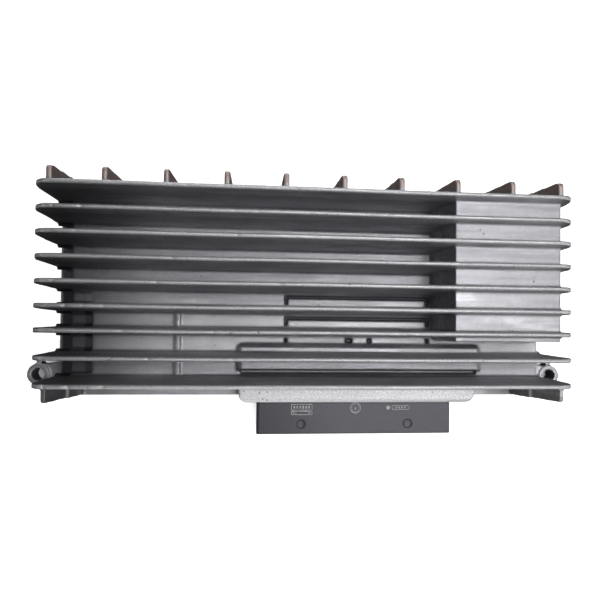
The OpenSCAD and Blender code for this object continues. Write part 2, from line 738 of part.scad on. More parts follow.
// Bobbin: a tube with two flanges, and two pin rails that stand on the board
module transformer_bobbin() color([0.12, 0.12, 0.12]) {
    translate([core_x, core_y, 0]) difference() {
        union() {
            translate([0, 0, window_z0]) cylinder(h = window_z1 - window_z0, r = bobbin_r);
            for (z = [window_z0, window_z1 - bobbin_flange_t])
                translate([0, 0, z]) cylinder(h = bobbin_flange_t, r = bobbin_flange_r);
            for (s = [-1, 1])
                block([s > 0 ? core_t / 2 + 0.4 : -core_t / 2 - 5.4, -12, board_z1 + 0.5],
                    [s > 0 ? core_t / 2 + 5.4 : -core_t / 2 - 0.4, 12, window_z0 + bobbin_flange_t]);
            for (s = [-1, 1], y = [-9 : 4.5 : 9])
                translate([s * (core_t / 2 + 3), y, board_z1 + 0.1]) cylinder(h = 2, d = 1);
        }
        translate([0, 0, window_z0 - 1]) cylinder(h = window_z1 - window_z0 + 2, r = core_leg_r + 0.2);
    }
}

// Copper layer between two radii on the bobbin
module winding_layer(r0, r1) {
    translate([core_x, core_y, window_z0 + bobbin_flange_t + 0.1]) difference() {
        cylinder(h = window_z1 - window_z0 - 2 * bobbin_flange_t - 0.2, r = r1);
        translate([0, 0, -1]) cylinder(h = window_z1 - window_z0 + 2, r = r0);
    }
}

module primary_winding() color([0.72, 0.38, 0.16])
    winding_layer(bobbin_r + 0.05, primary_r);

module secondary_winding() color([0.8, 0.5, 0.2])
    winding_layer(primary_r + winding_gap, secondary_r);

// Soft pad that carries the transformer's heat to the pocket's ceiling
module transformer_pad() color([0.55, 0.6, 0.7])
    block([core_x - core_t / 2 - 1, core_y - core_w / 2 + 1, core_z1 + contact],
        [core_x + core_t / 2 + 1, core_y + core_w / 2 - 1, pocket_top - wall - contact]);

// Ring with a square section about the Z axis
module ring(r0, r1, t) {
    rotate_extrude() translate([r0, -t / 2]) square([r1 - r0, t]);
}

// Wire sleeve around a ring's section, between two angles
module sleeve(r0, r1, t, wire, from, to) {
    rotate(from) rotate_extrude(angle = to - from) difference() {
        translate([r0 - wire, -t / 2 - wire]) square([r1 - r0 + 2 * wire, t + 2 * wire]);
        translate([r0 - 0.1, -t / 2 - 0.1]) square([r1 - r0 + 0.2, t + 0.2]);
    }
}

module inductor_core() color([0.75, 0.72, 0.2])
    translate([core_x, ring_y, ring_z]) rotate([90, 0, 0]) ring(ring_bore_r, ring_r, ring_t);

module inductor_winding() color([0.72, 0.38, 0.16])
    translate([core_x, ring_y, ring_z]) rotate([90, 0, 0])
        sleeve(ring_bore_r, ring_r, ring_t, ring_wire, -60, 240);

module choke_core() color([0.25, 0.4, 0.3])
    translate([choke_at[0], choke_at[1], board_z1 + 0.6 + choke_wire + choke_t / 2])
        ring(choke_bore_r, choke_r, choke_t);

module choke_windings() color([0.72, 0.38, 0.16])
    translate([choke_at[0], choke_at[1], board_z1 + 0.6 + choke_wire + choke_t / 2]) {
        sleeve(choke_bore_r, choke_r, choke_t, choke_wire, 20, 160);
        sleeve(choke_bore_r, choke_r, choke_t, choke_wire, 200, 340);
    }

module transistor_bodies() color([0.1, 0.1, 0.1])
    for (i = [0 : transistor_count - 1])
        translate([transistor_x(i) - transistor_w / 2, transistor_y0, transistor_z0]) difference() {
            cube([transistor_w, transistor_l, transistor_h - contact]);
            translate([transistor_w / 2, transistor_l - 4, -1]) cylinder(h = 4, d = 3.6);
            for (s = [0, 1])
                translate([s * transistor_w, transistor_l - 5, -1]) cylinder(h = 4, d = 4);
        }

// Three bent leads on each transistor
lead_w = 1.2;
lead_t = 0.6;
lead_pitch = 5.45;
lead_reach = 4.5;
lead_z = transistor_z0 + 2.4;
function lead_x(i, k) = transistor_x(i) + k * lead_pitch - lead_w / 2;

module transistor_leads() color([0.75, 0.75, 0.74])
    for (i = [0 : transistor_count - 1], k = [-1, 0, 1]) {
        block([lead_x(i, k), transistor_y0 - lead_reach, lead_z],
            [lead_x(i, k) + lead_w, transistor_y0 - contact, lead_z + lead_t]);
        block([lead_x(i, k), transistor_y0 - lead_reach, board_z0 - 1.5],
            [lead_x(i, k) + lead_w, transistor_y0 - lead_reach + lead_t, lead_z + lead_t]);
    }

module lead_slots()
    for (i = [0 : transistor_count - 1], k = [-1, 0, 1])
        block([lead_x(i, k) - contact, transistor_y0 - lead_reach - contact, board_z0 - 1],
            [lead_x(i, k) + lead_w + contact, transistor_y0 - lead_reach + lead_t + contact,
                board_z1 + 1]);

module thermal_pads() color([0.6, 0.65, 0.8])
    for (i = [0 : transistor_count - 1])
        translate([transistor_x(i) - transistor_w / 2 - fit, transistor_y0 - fit, ceiling_z - pad_t])
            cube([transistor_w + 2 * fit, transistor_l + 2 * fit, pad_t - contact]);

// Spring bar that presses the transistors against the base plate
module clamp_bar() color([0.68, 0.69, 0.71])
    difference() {
        block([transistor_x(0) - transistor_w / 2, clamp_y - clamp_w / 2, clamp_z0],
            [transistor_x(transistor_count - 1) + transistor_w / 2, clamp_y + clamp_w / 2,
                clamp_z0 + clamp_t - contact]);
        for (x = clamp_screw_at)
            translate([x, clamp_y, clamp_z0 - 1]) cylinder(h = clamp_t + 2, d = clamp_screw_d + 2 * fit);
    }

module clamp_screws() color([0.72, 0.72, 0.74])
    for (x = clamp_screw_at) translate([x, clamp_y, clamp_z0 - contact]) difference() {
        union() {
            translate([0, 0, -board_head_h]) cylinder(h = board_head_h, d = 2 * clamp_screw_d);
            translate([0, 0, -1]) cylinder(h = 8.5, d = clamp_screw_d);
        }
        for (a = [0, 90]) rotate(a)
            translate([-1.4, -0.3, -board_head_h - 1]) cube([2.8, 0.6, 2]);
    }

// Bus capacitors, lying on the board beside the transistors
capacitor_count = 4;
capacitor_x0 = transistor_x(transistor_count - 1) + transistor_w / 2 + 3 + capacitor_d / 2;
capacitor_y0 = board_y1 - 18 - capacitor_l;
module bus_capacitors() color([0.15, 0.2, 0.35])
    for (i = [0 : capacitor_count - 1])
        translate([capacitor_x0 + i * (capacitor_d + 1.5), capacitor_y0,
            board_z1 + contact + capacitor_d / 2]) rotate([-90, 0, 0]) difference() {
            cylinder(h = capacitor_l, d = capacitor_d);
            translate([0, 0, 2]) ring(capacitor_d / 2 - 0.4, capacitor_d / 2 + 1, 1);
            for (a = [0, 90]) rotate(a)
                translate([-capacitor_d * 0.35, -0.2, capacitor_l - 0.3]) cube([capacitor_d * 0.7, 0.4, 1]);
        }

film_l = 18;
film_pitch = film_l + 6;
film_count = floor((capacitor_x0 - capacitor_d / 2 + board_x - 9) / film_pitch);
film_at = [for (i = [0 : film_count - 1]) [-board_x + 15 + i * film_pitch, board_y1 - 22]];
module film_capacitors() color([0.75, 0.62, 0.2])
    for (p = film_at)
        translate([p[0], p[1], board_z1 + contact]) linear_extrude(10) rounded(0, 0, film_l, 8, 0.8);

relay_at = [for (y = [26, 44]) [pocket_x0 - 11.2, board_y0 + y]];
module relays() color([0.15, 0.25, 0.5])
    for (p = relay_at)
        translate([p[0], p[1], board_z1 + contact]) linear_extrude(10.5) rounded(0, 0, 13, 12.5, 0.6);

// Cartridge fuse: a tube between two end caps
fuse_at = [pocket_x0 - 19, board_y0 + 13];
module fuse() color([0.85, 0.83, 0.78])
    translate([fuse_at[0], fuse_at[1], board_z1 + contact + 3]) rotate([0, 90, 0]) {
        cylinder(h = 18, d = 4.6);
        translate([0, 0, -1]) cylinder(h = 5, d = 5.2);
        translate([0, 0, 14]) cylinder(h = 5, d = 5.2);
    }

varistor_at = [for (x = [8, 21]) [fuse_at[0] - x, board_y0 + 14]];
module varistors() color([0.15, 0.3, 0.6])
    for (p = varistor_at)
        translate([p[0], p[1] + 2, board_z1 + 5.6]) rotate([90, 0, 0]) cylinder(h = 4, d = 10.5);

module controller_chip() color([0.08, 0.08, 0.09])
    translate([capacitor_x0 + 6, board_y0 + 27.5, board_z1 + contact])
        linear_extrude(1.6) rounded(-7, -7, 7, 7, 0.3);

module gate_drivers() color([0.09, 0.09, 0.1])
    for (i = [0 : transistor_count - 1])
        translate([transistor_x(i), transistor_y0 - 12, board_z1 + contact]) linear_extrude(2.4)
            rounded(-5, -3.7, 5, 3.7, 0.2);

module current_sensors() color([0.1, 0.1, 0.1])
    for (x = [15, 33])
        translate([pocket_x0 + x, board_y0 + 10, board_z1 + contact])
            linear_extrude(3) rounded(-6, -4, 6, 4, 0.3);

// Breathing membrane stuck over the vent hole inside the cover
module vent_membrane() color([0.9, 0.9, 0.9])
    translate([vent_at[0], vent_at[1], cover_t + contact]) cylinder(h = vent_t, d = vent_d);

// Blank rating plate in its recess on the cover's outer face
module rating_plate() color([0.8, 0.8, 0.8])
    translate([plate_at[0], plate_at[1], 0.1]) linear_extrude(plate_t)
        rounded(-plate_l / 2, -plate_w / 2, plate_l / 2, plate_w / 2, 1.8);

housing();
back_cover();
cover_gasket();
cover_screws();
connector_header();
header_seal();
header_clip();
signal_pins();
power_blades();
circuit_board();
board_screws();
transformer_core();
transformer_bobbin();
primary_winding();
secondary_winding();
transformer_pad();
inductor_core();
inductor_winding();
choke_core();
choke_windings();
transistor_bodies();
transistor_leads();
thermal_pads();
clamp_bar();
clamp_screws();
bus_capacitors();
film_capacitors();
relays();
fuse();
varistors();
controller_chip();
gate_drivers();
current_sensors();
vent_membrane();
rating_plate();
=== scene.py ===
import math

import bmesh
import bpy
import numpy as np
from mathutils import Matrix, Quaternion, Vector


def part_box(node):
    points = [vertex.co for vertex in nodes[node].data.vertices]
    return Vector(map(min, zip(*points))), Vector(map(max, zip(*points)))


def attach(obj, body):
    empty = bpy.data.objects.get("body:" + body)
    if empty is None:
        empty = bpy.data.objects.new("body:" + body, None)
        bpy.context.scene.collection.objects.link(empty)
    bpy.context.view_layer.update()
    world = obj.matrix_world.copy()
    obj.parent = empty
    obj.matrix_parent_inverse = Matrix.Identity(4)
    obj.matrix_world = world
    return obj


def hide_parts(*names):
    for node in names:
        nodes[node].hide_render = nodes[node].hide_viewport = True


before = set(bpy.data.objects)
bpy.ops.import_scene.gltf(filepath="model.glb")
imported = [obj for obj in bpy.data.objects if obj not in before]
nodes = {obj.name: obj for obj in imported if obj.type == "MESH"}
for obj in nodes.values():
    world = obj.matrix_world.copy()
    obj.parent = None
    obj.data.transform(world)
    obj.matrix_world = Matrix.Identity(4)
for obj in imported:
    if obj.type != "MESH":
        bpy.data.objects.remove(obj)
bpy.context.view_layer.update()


MM = 0.001
housing_lo, housing_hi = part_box("housing")
header_lo, header_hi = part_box("connector_header")
TIP_Z = housing_hi.z
PLATE_Z = TIP_Z - 35 * MM
BODY_X = housing_lo.x + 21 * MM
REAR_Y = housing_hi.y - 8.9 * MM
FRONT_Y = REAR_Y - 94.5 * MM
MARK_HALF = 28.5 * MM
HEADER_TOP = header_hi.z
HEADER_X = (header_lo.x + header_hi.x) / 2
COLLAR_Y = header_lo.y + 17 * MM


# ---------------------------------------------------------------- materials
class Shader:
    """Builds one node material; methods return output sockets."""

    def __init__(self, name):
        self.material = bpy.data.materials.new(name)
        self.material.use_nodes = True
        self.tree = self.material.node_tree
        self.bsdf = self.tree.nodes["Principled BSDF"]
        self.pos = self.add("ShaderNodeTexCoord").outputs["Object"]

    def add(self, kind, **values):
        node = self.tree.nodes.new(kind)
        for key, value in values.items():
            setattr(node, key, value)
        return node

    def put(self, socket, value):
        if hasattr(value, "is_output"):
            self.tree.links.new(value, socket)
        else:
            socket.default_value = value

    def mapped(self, scale, offset=(0, 0, 0)):
        node = self.add("ShaderNodeMapping")
        self.put(node.inputs["Vector"], self.pos)
        node.inputs["Scale"].default_value = scale
        node.inputs["Location"].default_value = offset
        return node.outputs["Vector"]

    def noise(self, scale, detail=3.0, rough=0.5, offset=(0, 0, 0)):
        """Noise with the given features per metre along X, Y and Z."""
        if not hasattr(scale, "__len__"):
            scale = (scale, scale, scale)
        node = self.add("ShaderNodeTexNoise")
        self.put(node.inputs["Vector"], self.mapped(scale, offset))
        node.inputs["Scale"].default_value = 1.0
        node.inputs["Detail"].default_value = detail
        node.inputs["Roughness"].default_value = rough
        return node.outputs["Fac"]

    def cells(self, scale, offset=(0, 0, 0)):
        node = self.add("ShaderNodeTexVoronoi")
        self.put(node.inputs["Vector"], self.mapped((scale, scale, scale), offset))
        node.inputs["Scale"].default_value = 1.0
        return node.outputs["Distance"]

    def ramp(self, value, low, high, out_low=0.0, out_high=1.0, smooth=True):
        node = self.add("ShaderNodeMapRange", clamp=True)
        if smooth:
            node.interpolation_type = "SMOOTHSTEP"
        self.put(node.inputs["Value"], value)
        node.inputs["From Min"].default_value = low
        node.inputs["From Max"].default_value = high
        node.inputs["To Min"].default_value = out_low
        node.inputs["To Max"].default_value = out_high
        return node.outputs["Result"]

    def math(self, operation, a, b=0.0):
        node = self.add("ShaderNodeMath", operation=operation, use_clamp=False)
        self.put(node.inputs[0], a)
        self.put(node.inputs[1], b)
        return node.outputs["Value"]

    def mix(self, factor, a, b, blend="MIX"):
        node = self.add("ShaderNodeMix", data_type="RGBA", blend_type=blend)
        self.put(node.inputs["Factor"], factor)
        self.put(node.inputs["A"], a if hasattr(a, "is_output") else (*a, 1))
        self.put(node.inputs["B"], b if hasattr(b, "is_output") else (*b, 1))
        return node.outputs["Result"]

    def axis(self, name):
        node = self.add("ShaderNodeSeparateXYZ")
        self.put(node.inputs["Vector"], self.pos)
        return node.outputs[name]

    def falls(self, value, low, high, rest=0.0):
        """1 up to the low end, and the rest value past the high end."""
        return self.ramp(value, low, high, 1.0, rest)

    def times(self, *factors):
        product = factors[0]
        for factor in factors[1:]:
            product = self.math("MULTIPLY", product, factor)
        return product

    def tint(self, tone, place, strength, color):
        """The tone with a color laid over it at the given place."""
        return self.mix(self.math("MULTIPLY", place, strength), tone, color)

    def crevice(self, distance):
        node = self.add("ShaderNodeAmbientOcclusion", samples=6)
        node.inputs["Distance"].default_value = distance
        return node.outputs["AO"]

    def bump(self, height, distance, strength=1.0, under=None):
        node = self.add("ShaderNodeBump")
        self.put(node.inputs["Height"], height)
        self.put(node.inputs["Strength"], strength)
        node.inputs["Distance"].default_value = distance
        if under is not None:
            self.put(node.inputs["Normal"], under)
        return node.outputs["Normal"]

    def done(self, color, roughness, metallic=0.0, normal=None, specular=0.5):
        self.put(self.bsdf.inputs["Base Color"], color)
        self.put(self.bsdf.inputs["Roughness"], roughness)
        self.bsdf.inputs["Metallic"].default_value = metallic
        self.bsdf.inputs["Specular IOR Level"].default_value = specular
        if normal is not None:
            self.put(self.bsdf.inputs["Normal"], normal)
        return self.material


def blasted_places(s, x, y, z):
    """Where the casting is shot-blasted: the fin tips, and the collar round the connector."""
    tip = s.ramp(z, TIP_Z - 2.2 * MM, TIP_Z - 0.7 * MM)
    collar = s.times(s.falls(y, FRONT_Y - 1.2 * MM, FRONT_Y - 0.2 * MM),
                     s.ramp(x, header_lo.x - 11 * MM, header_lo.x - 8 * MM),
                     s.falls(x, header_hi.x + 12 * MM, header_hi.x + 15 * MM))
    return tip, collar


def plate_light_and_shade(s, tone, x, y, z):
    """Painted light on the widest strips of the base plate, and painted shade in the grooves round its
    panels.
    """
    # Painted light: the plate strips between the fins are lightened where the lamp falls on them.
    lit_strips = s.times(s.ramp(y, 11 * MM, 14 * MM), s.falls(y, 36 * MM, 40 * MM),
                     s.falls(z, PLATE_Z + 0.3 * MM, PLATE_Z + 1.0 * MM))
    tone = s.tint(tone, lit_strips, 0.45, (0.86, 0.86, 0.87))
    # Painted shade: the recessed grooves round the panels are darkened nearly to black.
    groove_shade = s.times(s.ramp(x, -14 * MM, -13 * MM),
                      s.ramp(y, 9 * MM, 10 * MM), s.falls(y, 47 * MM, 48 * MM),
                      s.ramp(z, PLATE_Z - 4 * MM, PLATE_Z - 3 * MM),
                      s.falls(z, PLATE_Z - 1.3 * MM, PLATE_Z - 0.5 * MM))
    return s.tint(tone, groove_shade, 0.85, (0.05, 0.048, 0.055))


def far_end_shading(s, tone, x, y, z, rear):
    """Painted shade towards the end furthest from the connector, away from the lamp, darkest on the steps
    at the edge.
    """
    above = s.ramp(z, PLATE_Z - 9 * MM, PLATE_Z - 3 * MM)
    # Painted shade: darker towards the far end, fading out at the fin tips and the rear ribs.
    far_end_shade = s.times(s.falls(x, BODY_X - 1 * MM, BODY_X + 54 * MM),
                   s.falls(z, TIP_Z - 2.0 * MM, TIP_Z - 0.8 * MM, 0.25),
                   s.math("SUBTRACT", 1.0, rear),
                   s.falls(y, 86 * MM, 90 * MM, 0.3),
                   s.math("ADD", s.math("MULTIPLY", above, 0.7), 0.3))
    tone = s.tint(tone, far_end_shade, 0.72, (0.08, 0.077, 0.09))
    # Painted shade on the left-facing slope, the dark panel beside it and the edge steps, which face away
    # from the lamp.
    shaded_slope = s.times(s.ramp(x, BODY_X + 11.0 * MM, BODY_X + 12.2 * MM),
                    s.falls(x, BODY_X + 15.4 * MM, BODY_X + 16.4 * MM))
    panel = s.math("MULTIPLY", s.falls(x, BODY_X + 11.4 * MM, BODY_X + 12.0 * MM), 0.55)
    front_rows = s.times(s.math("MAXIMUM", shaded_slope, panel), s.falls(y, 34 * MM, 36 * MM),
                         s.ramp(y, 1.6 * MM, 2.6 * MM))
    edge = s.falls(x, BODY_X + 5 * MM, BODY_X + 7 * MM)
    steps = s.times(s.math("MAXIMUM", front_rows, edge), above,
                    s.falls(z, PLATE_Z + 2.5 * MM, PLATE_Z + 5 * MM), s.falls(y, 84 * MM, 87 * MM))
    return s.tint(tone, steps, 0.85, (0.02, 0.02, 0.024))


def cast_aluminium():
    """Die-cast aluminium: streaked walls, blasted tips and collar, dark pits, painted shade in the corners
    and towards the far end, painted light on the plate strips and the rear ribs.
    """
    s = Shader("cast_aluminium_detail")
    x, y, z = s.axis("X"), s.axis("Y"), s.axis("Z")
    cloud = s.noise(34, 4.0, 0.6)
    streak = s.noise((16, 320, 320), 4.0, 0.62)
    fine = s.noise(620, 3.0, 0.6)
    grain = s.noise(1500, 2.0, 0.65, (3, 1, 2))
    tone = s.mix(s.ramp(cloud, 0.32, 0.68), (0.448, 0.441, 0.466), (0.606, 0.603, 0.624))
    tone = s.mix(s.ramp(streak, 0.40, 0.66, 0.0, 0.5), tone, (0.305, 0.298, 0.33))
    tone = s.mix(s.ramp(fine, 0.35, 0.65, 0.0, 0.25), tone, (0.34, 0.335, 0.36))
    # Blasted grain
    tip, collar = blasted_places(s, x, y, z)
    blasted = s.math("MAXIMUM", tip, collar)
    speckle = s.ramp(grain, 0.30, 0.70)
    tone = s.tint(tone, tip, 0.85, s.mix(speckle, (0.54, 0.54, 0.555), (0.74, 0.735, 0.75)))
    tone = s.tint(tone, collar, 0.9, s.mix(speckle, (0.64, 0.645, 0.66), (0.94, 0.94, 0.95)))
    # Pale smears left by the die
    smear = s.times(s.ramp(s.noise((30, 42, 90), 4.0, 0.65, (9, 2, 5)), 0.50, 0.68),
                    s.ramp(s.noise((60, 500, 500), 3.0, 0.6, (2, 8, 6)), 0.38, 0.60))
    tone = s.tint(tone, smear, 0.45, (0.78, 0.78, 0.80))
    # Small dark pits, in patches
    patch = s.ramp(s.noise(70, 3.0, 0.6, (7, 3, 1)), 0.58, 0.66)
    pit = s.times(s.falls(s.cells(420), 0.08, 0.26), patch)
    tone = s.tint(tone, pit, 0.8, (0.07, 0.07, 0.075))
    # Painted warm light and reflection on the rear ribs, and a darker greenish tone on the front end ribs
    rear = s.times(s.ramp(y, REAR_Y + 0.5 * MM, REAR_Y + 1.9 * MM), s.ramp(z, 26 * MM, 40 * MM))
    # Painted light: the rear ribs are lightened and warmed as if lit by a warm reflection.
    tone = s.tint(tone, rear, 0.8, (0.47, 0.37, 0.335))
    front = s.times(s.falls(y, FRONT_Y - 0.4 * MM, FRONT_Y + 0.6 * MM),
                    s.ramp(s.math("ABSOLUTE", x), 96 * MM, 104 * MM))
    tone = s.tint(tone, front, 0.6, (0.28, 0.29, 0.26))
    tone = plate_light_and_shade(s, tone, x, y, z)
    tone = far_end_shading(s, tone, x, y, z, rear)
    # Painted shade in the corners, darker where they are more enclosed
    tone = s.mix(s.ramp(s.crevice(7 * MM), 0.15, 0.8, 0.75, 0.0), tone, (0.07, 0.066, 0.082))
    rough = s.ramp(cloud, 0.25, 0.75, 0.50, 0.64)
    rough = s.math("ADD", rough, s.math("MULTIPLY", blasted, 0.06))
    rough = s.math("SUBTRACT", rough, s.math("MULTIPLY", smear, 0.04))
    normal = s.bump(streak, 0.25 * MM, 0.35)
    normal = s.bump(grain, 0.30 * MM, s.math("ADD", s.math("MULTIPLY", blasted, 0.22), 0.10), normal)
    normal = s.bump(pit, -0.25 * MM, 0.5, normal)
    return s.done(tone, rough, 0.9, normal)


def cover_aluminium():
    """Pressed aluminium sheet with a brushed grain and light scratches."""
    s = Shader("cover_aluminium_detail")
    brushed = s.noise((14, 900, 300), 4.0, 0.6)
    cloud = s.noise(30, 3.0)
    scratch = s.ramp(s.noise((30, 1500, 200), 1.0, 0.4, (4, 9, 2)), 0.66, 0.70)
    tone = s.mix(s.ramp(cloud, 0.3, 0.7), (0.50, 0.505, 0.52), (0.62, 0.625, 0.64))
    tone = s.mix(s.ramp(brushed, 0.35, 0.65, 0.0, 0.35), tone, (0.40, 0.40, 0.42))
    tone = s.mix(s.math("MULTIPLY", scratch, 0.5), tone, (0.78, 0.78, 0.79))
    # Painted shade in the corners
    tone = s.mix(s.ramp(s.crevice(5 * MM), 0.2, 0.85, 0.6, 0.0), tone, (0.10, 0.10, 0.11))
    normal = s.bump(brushed, 0.06 * MM, 0.5)
    return s.done(tone, s.ramp(brushed, 0.3, 0.7, 0.34, 0.48), 0.9, normal)


def slate_plastic():
    """Glass-filled moulding compound: slate grey, fine eroded grain, pale handling marks."""
    s = Shader("slate_plastic_detail")
    cloud = s.noise(40, 3.0, 0.55)
    grain = s.noise(1500, 2.0, 0.6)
    fibre = s.noise((120, 900, 900), 3.0, 0.6, (2, 5, 8))
    tone = s.mix(s.ramp(cloud, 0.3, 0.7), (0.080, 0.080, 0.099), (0.104, 0.104, 0.124))
    tone = s.mix(s.ramp(fibre, 0.55, 0.75, 0.0, 0.35), tone, (0.150, 0.150, 0.165))
    tone = s.mix(s.ramp(grain, 0.3, 0.7, 0.0, 0.25), tone, (0.070, 0.070, 0.080))
    # Painted shade in the corners of the moulding
    tone = s.mix(s.ramp(s.crevice(2.5 * MM), 0.3, 0.9, 0.7, 0.0), tone, (0.02, 0.02, 0.024))
    # Ejector pin marks, and painted shade on the rounded ends and front edge of the moulding, which turn
    # away from the lamp
    x, y = s.axis("X"), s.axis("Y")
    for side in (-1, 1):
        across = s.math("SUBTRACT", x, HEADER_X + side * MARK_HALF)
        along = s.math("SUBTRACT", y, header_lo.y + 5.2 * MM)
        reach = s.math("SQRT", s.math("ADD", s.times(across, across), s.times(along, along)))
        ring = s.times(s.ramp(reach, 1.7 * MM, 2.15 * MM), s.falls(reach, 2.3 * MM, 2.7 * MM))
        tone = s.tint(tone, ring, 0.8, (0.022, 0.022, 0.026))
    # Painted shade on the rounded left and right ends and along the front edge.
    shaded_ends = s.math("MAXIMUM", s.falls(x, header_lo.x + 1.0 * MM, header_lo.x + 1.9 * MM),
                  s.ramp(x, header_hi.x - 1.0 * MM, header_hi.x - 0.5 * MM))
    shaded_ends = s.math("MAXIMUM", shaded_ends, s.ramp(y, header_lo.y + 0.3 * MM, header_lo.y + 0.9 * MM, 0.6, 0.0))
    tone = s.tint(tone, shaded_ends, 0.85, (0.012, 0.012, 0.014))
    # Painted shade: darker towards the left end, away from the lamp.
    tone = s.mix(s.ramp(x, header_lo.x, header_lo.x + 45 * MM, 0.65, 0.0), tone, (0.03, 0.03, 0.04))
    normal = s.bump(grain, 0.08 * MM, 0.5)
    return s.done(tone, s.ramp(cloud, 0.3, 0.7, 0.46, 0.56), 0.0, normal, 0.45)


def simple(name, dark, light, rough, metallic=0.0, patch=60.0, grain=900.0, relief=0.05,
           stretch=(1, 1, 1), specular=0.5, corner_shade=0.4):
    """Two-tone material with cloudy colour, a fine grain and painted shade in its corners."""
    s = Shader(name + "_detail")
    cloud = s.noise(tuple(patch * k for k in stretch), 3.0, 0.55)
    fine = s.noise(tuple(grain * k for k in stretch), 2.0, 0.6, (1, 2, 3))
    tone = s.mix(s.ramp(cloud, 0.3, 0.7), dark, light)
    shade = tuple(c * 0.6 for c in dark)
    tone = s.mix(s.ramp(fine, 0.35, 0.7, 0.0, 0.3), tone, shade)
    # Painted shade in the corners
    tone = s.mix(s.ramp(s.crevice(3 * MM), 0.2, 0.8, corner_shade, 0.0), tone, tuple(c * 0.25 for c in dark))
    normal = s.bump(fine, relief * MM, 0.5)
    return s.done(tone, s.ramp(cloud, 0.3, 0.7, rough - 0.06, rough + 0.06), metallic, normal, specular)


def board_green():
    """Solder mask over copper tracks, with a fine weave."""
    s = Shader("board_green_detail")
    weave = s.noise((500, 500, 40), 1.0)
    across = s.ramp(s.cells(130, (3, 2, 0)), 0.30, 0.34)
    tracks = s.math("MULTIPLY", across, s.ramp(s.noise(40, 1.0, 0.4, (5, 5, 5)), 0.46, 0.50))
    tone = s.mix(s.ramp(weave, 0.3, 0.7), (0.008, 0.070, 0.026), (0.012, 0.105, 0.038))
    tone = s.mix(s.math("MULTIPLY", tracks, 0.6), tone, (0.030, 0.190, 0.070))
    normal = s.bump(tracks, 0.04 * MM, 0.5)
    return s.done(tone, s.ramp(weave, 0.3, 0.7, 0.28, 0.36), 0.0, normal)


def copper_wire():
    """Enamelled copper, wound in close turns."""
    s = Shader("copper_wire_detail")
    wave = s.add("ShaderNodeTexWave", wave_type="BANDS", bands_direction="Z")
    s.put(wave.inputs["Vector"], s.mapped((1, 1, 1)))
    wave.inputs["Scale"].default_value = 260.0
    wave.inputs["Distortion"].default_value = 0.6
    cloud = s.noise(150, 3.0)
    tone = s.mix(s.ramp(cloud, 0.3, 0.7), (0.36, 0.115, 0.035), (0.52, 0.19, 0.06))
    # Painted shade between the turns and in the corners
    tone = s.mix(s.ramp(s.crevice(1.2 * MM), 0.3, 0.9, 0.7, 0.0), tone, (0.06, 0.02, 0.01))
    normal = s.bump(wave.outputs["Fac"], 0.10 * MM, 0.25)
    return s.done(tone, s.ramp(cloud, 0.3, 0.7, 0.24, 0.34), 0.85, normal)


def blank_foil():
    """Blank rating plate: pale foil with a thin printed border and empty panel lines."""
    s = Shader("blank_foil_detail")
    cloud = s.noise(60, 3.0)
    tone = s.mix(s.ramp(cloud, 0.3, 0.7), (0.60, 0.61, 0.62), (0.68, 0.69, 0.70))
    lo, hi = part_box("rating_plate")
    mid = (lo + hi) / 2
    across = s.math("ABSOLUTE", s.math("SUBTRACT", s.axis("X"), mid.x))
    along = s.math("ABSOLUTE", s.math("SUBTRACT", s.axis("Y"), mid.y))
    half = (hi - lo) / 2
    edge = s.math("MAXIMUM", s.ramp(across, half.x - 2.4 * MM, half.x - 2.3 * MM),
                  s.ramp(along, half.y - 2.4 * MM, half.y - 2.3 * MM))
    inner = s.math("MAXIMUM", s.ramp(across, half.x - 2.0 * MM, half.x - 1.9 * MM),
                   s.ramp(along, half.y - 2.0 * MM, half.y - 1.9 * MM))
    line = s.math("SUBTRACT", edge, inner)
    tone = s.mix(s.math("MULTIPLY", line, 0.85), tone, (0.05, 0.05, 0.055))
    return s.done(tone, s.ramp(cloud, 0.3, 0.7, 0.30, 0.42), 0.4, s.bump(cloud, 0.05 * MM, 0.3))


